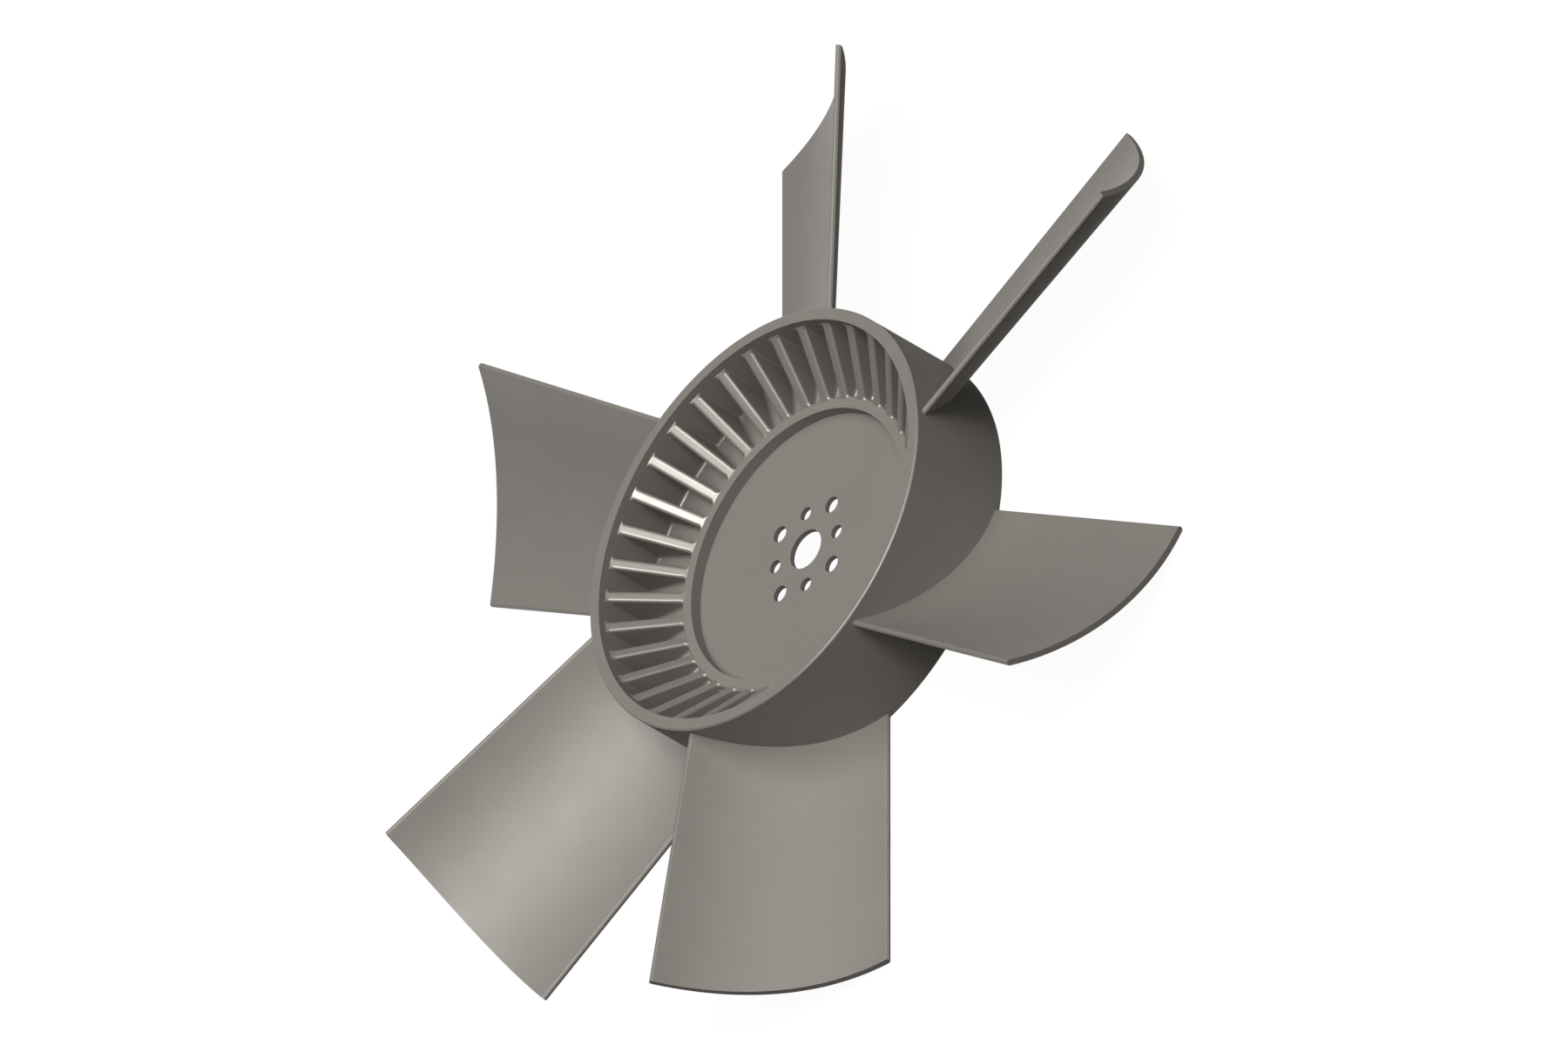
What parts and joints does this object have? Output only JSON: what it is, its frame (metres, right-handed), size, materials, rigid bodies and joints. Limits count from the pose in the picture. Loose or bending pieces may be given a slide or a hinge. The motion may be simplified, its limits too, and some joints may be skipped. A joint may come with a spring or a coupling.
{
  "type": "axial fan impeller",
  "caption": "Axial fan impeller: an open drum hub with a bored disc, a raised ring and sloping ribs inside its rim, and cambered blades round it.",
  "frame": {"origin": "on the axis of rotation, at the back plane of the hub", "axes": "+Z along the axis of rotation towards the open front of the hub, where the ribs are; +Y along one blade; +X through a space between two ribs"},
  "size_m": [0.5866, 0.6072, 0.0795],
  "materials": {
    "moulding": "smooth warm grey moulding with a soft sheen"
  },
  "bodies": {
    "root": {"impeller": "moulding"}
  },
  "joints": []
}
